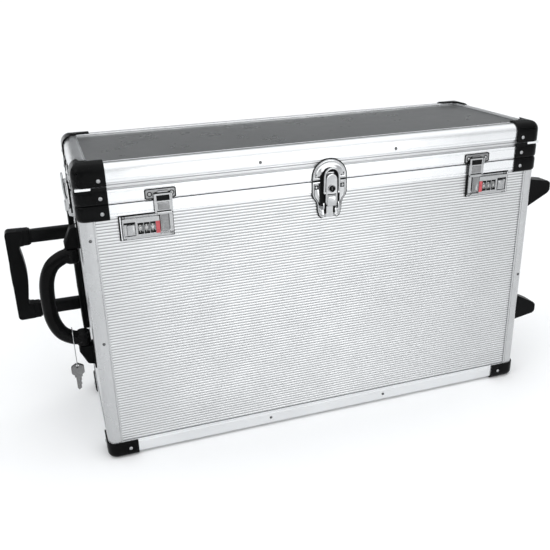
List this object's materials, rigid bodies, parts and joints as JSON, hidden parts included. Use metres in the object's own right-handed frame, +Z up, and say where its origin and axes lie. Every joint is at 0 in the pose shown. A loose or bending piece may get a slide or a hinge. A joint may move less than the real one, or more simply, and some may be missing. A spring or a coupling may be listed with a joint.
{
  "type": "poker chip case",
  "caption": "Rolling aluminium case for poker chips with a hinged lid, combination latches, key lock, carry handle, pull-out trolley handle, wheels, feet and keys.",
  "frame": {"origin": "centre of the bottom of the bounding box, on the surface that the corner caps stand on", "axes": "+Z up with the lid uppermost; +X towards the end with the feet and wheels; +Y from the latched front to the hinged back"},
  "size_m": [0.716, 0.2186, 0.374],
  "materials": {
    "ribbed_aluminium": "pressed sheet with fine level ribs, satin",
    "lid_sheet": "smooth anodised sheet, satin",
    "satin_extrusion": "satin anodised extrusion, fine drawn lines",
    "chrome_plate": "bright plated pressings",
    "corner_plastic": "glossy black moulding",
    "moulded_plastic": "black moulding, fine grain",
    "rod_paint": "black painted steel tube",
    "wheel_rubber": "black, slightly worn",
    "steel": "nickel plated, satin",
    "lining_foam": "black cloth over thin foam"
  },
  "bodies": {
    "case": {"front_panel": "ribbed_aluminium", "back_panel": "ribbed_aluminium", "left_end_panel": "ribbed_aluminium", "right_end_panel": "ribbed_aluminium", "bottom_panel": "ribbed_aluminium", "bottom_frame": "satin_extrusion", "body_rim": "satin_extrusion", "corner_post_front_left": "satin_extrusion", "corner_post_front_right": "satin_extrusion", "corner_post_back_left": "satin_extrusion", "corner_post_back_right": "satin_extrusion", "bottom_cap_front_left": "corner_plastic", "bottom_cap_front_right": "corner_plastic", "bottom_cap_back_left": "corner_plastic", "bottom_cap_back_right": "corner_plastic", "case_lining": "lining_foam", "foot_lower": "moulded_plastic", "foot_upper": "moulded_plastic", "wheel_housing_lower": "moulded_plastic", "wheel_housing_upper": "moulded_plastic", "hinge_body_leaf": "steel", "latch_plate_left": "chrome_plate", "latch_plate_right": "chrome_plate", "lock_plate": "chrome_plate", "end_latch_plate": "chrome_plate", "handle_mount_lower": "moulded_plastic", "handle_mount_upper": "moulded_plastic", "trolley_bezel": "moulded_plastic"},
    "lid": {"lid_panel": "lid_sheet", "lid_edge_frame": "satin_extrusion", "lid_rim": "satin_extrusion", "lid_cap_front_left": "corner_plastic", "lid_cap_front_right": "corner_plastic", "lid_cap_back_left": "corner_plastic", "lid_cap_back_right": "corner_plastic", "hinge_lid_leaf": "steel", "lock_keeper": "chrome_plate"},
    "dial_left_1": {"dial_left_1": "chrome_plate"},
    "dial_left_2": {"dial_left_2": "chrome_plate"},
    "dial_left_3": {"dial_left_3": "chrome_plate"},
    "dial_right_1": {"dial_right_1": "chrome_plate"},
    "dial_right_2": {"dial_right_2": "chrome_plate"},
    "dial_right_3": {"dial_right_3": "chrome_plate"},
    "latch_slide_left": {"latch_slide_left": "chrome_plate"},
    "latch_slide_right": {"latch_slide_right": "chrome_plate"},
    "latch_lever_left": {"latch_lever_left": "chrome_plate"},
    "latch_lever_right": {"latch_lever_right": "chrome_plate"},
    "lock_lever": {"lock_lever": "chrome_plate"},
    "end_latch_lever": {"end_latch_lever": "chrome_plate"},
    "lock_cylinder": {"lock_cylinder": "chrome_plate"},
    "carry_handle": {"handle_grip": "moulded_plastic"},
    "trolley_handle": {"trolley_grip": "moulded_plastic", "trolley_rod_lower": "rod_paint", "trolley_rod_upper": "rod_paint"},
    "trolley_button": {"trolley_button": "moulded_plastic"},
    "wheel_lower": {"wheel_lower": "wheel_rubber"},
    "wheel_upper": {"wheel_upper": "wheel_rubber"},
    "key_wire": {"key_wire": "steel"},
    "key_1": {"key_1": "steel"},
    "key_2": {"key_2": "steel"}
  },
  "joints": [
    {"name": "lid_hinge", "type": "hinge", "parent": "case", "child": "lid", "pos_m": [0.025, 0.10575, 0.32765], "axis": [-1, 0, 0], "range_deg": [0, 100]},
    {"name": "dial_left_1_turn", "type": "hinge", "parent": "case", "child": "dial_left_1", "pos_m": [-0.2025, -0.09805, 0.2975], "axis": [1, 0, 0], "continuous": true},
    {"name": "dial_left_2_turn", "type": "hinge", "parent": "case", "child": "dial_left_2", "pos_m": [-0.1955, -0.09805, 0.2975], "axis": [1, 0, 0], "continuous": true},
    {"name": "dial_left_3_turn", "type": "hinge", "parent": "case", "child": "dial_left_3", "pos_m": [-0.1885, -0.09805, 0.2975], "axis": [1, 0, 0], "continuous": true},
    {"name": "dial_right_1_turn", "type": "hinge", "parent": "case", "child": "dial_right_1", "pos_m": [0.2525, -0.09805, 0.2975], "axis": [1, 0, 0], "continuous": true},
    {"name": "dial_right_2_turn", "type": "hinge", "parent": "case", "child": "dial_right_2", "pos_m": [0.2455, -0.09805, 0.2975], "axis": [1, 0, 0], "continuous": true},
    {"name": "dial_right_3_turn", "type": "hinge", "parent": "case", "child": "dial_right_3", "pos_m": [0.2385, -0.09805, 0.2975], "axis": [1, 0, 0], "continuous": true},
    {"name": "latch_slide_left_press", "type": "slide", "parent": "case", "child": "latch_slide_left", "axis": [-1, 0, 0], "range_m": [0, 0.003], "stiffness_N_per_m": 150},
    {"name": "latch_slide_right_press", "type": "slide", "parent": "case", "child": "latch_slide_right", "axis": [1, 0, 0], "range_m": [0, 0.003], "stiffness_N_per_m": 150},
    {"name": "latch_lever_left_open", "type": "hinge", "parent": "case", "child": "latch_lever_left", "pos_m": [-0.1741, -0.10215, 0.292], "axis": [1, 0, 0], "range_deg": [0, 110]},
    {"name": "latch_lever_right_open", "type": "hinge", "parent": "case", "child": "latch_lever_right", "pos_m": [0.2241, -0.10215, 0.292], "axis": [1, 0, 0], "range_deg": [0, 110]},
    {"name": "lock_lever_open", "type": "hinge", "parent": "case", "child": "lock_lever", "pos_m": [0.025, -0.10425, 0.2975], "axis": [1, 0, 0], "range_deg": [0, 100]},
    {"name": "end_latch_open", "type": "hinge", "parent": "case", "child": "end_latch_lever", "pos_m": [-0.273, 0.00125, 0.2975], "axis": [0, -1, 0], "range_deg": [0, 100]},
    {"name": "lock_cylinder_turn", "type": "hinge", "parent": "lock_lever", "child": "lock_cylinder", "pos_m": [0.025, -0.10675, 0.319], "axis": [0, 1, 0], "range_deg": [0, 90]},
    {"name": "carry_handle_fold", "type": "hinge", "parent": "case", "child": "carry_handle", "pos_m": [-0.278, -0.00125, 0.18415], "axis": [0, 0, -1], "range_deg": [0, 70]},
    {"name": "trolley_slide", "type": "slide", "parent": "case", "child": "trolley_handle", "axis": [-1, 0, 0], "range_m": [-0.05, 0.38]},
    {"name": "trolley_button_press", "type": "slide", "parent": "trolley_handle", "child": "trolley_button", "axis": [1, 0, 0], "range_m": [0, 0.0025], "stiffness_N_per_m": 300},
    {"name": "wheel_lower_spin", "type": "hinge", "parent": "case", "child": "wheel_lower", "pos_m": [0.339, 0.09075, 0.086], "axis": [0, 0, 1], "continuous": true},
    {"name": "wheel_upper_spin", "type": "hinge", "parent": "case", "child": "wheel_upper", "pos_m": [0.339, 0.09075, 0.294], "axis": [0, 0, 1], "continuous": true},
    {"name": "key_wire_swing", "type": "hinge", "parent": "carry_handle", "child": "key_wire", "pos_m": [-0.291, -0.00125, 0.1299], "axis": [1, 0, 0], "range_deg": [-25, 0]},
    {"name": "key_1_swing", "type": "hinge", "parent": "key_wire", "child": "key_1", "pos_m": [-0.291, -0.01905, 0.097], "axis": [0, 1, 0], "range_deg": [-20, 20]},
    {"name": "key_2_swing", "type": "hinge", "parent": "key_wire", "child": "key_2", "pos_m": [-0.291, -0.01585, 0.097], "axis": [0, 1, 0], "range_deg": [-20, 20]}
  ]
}
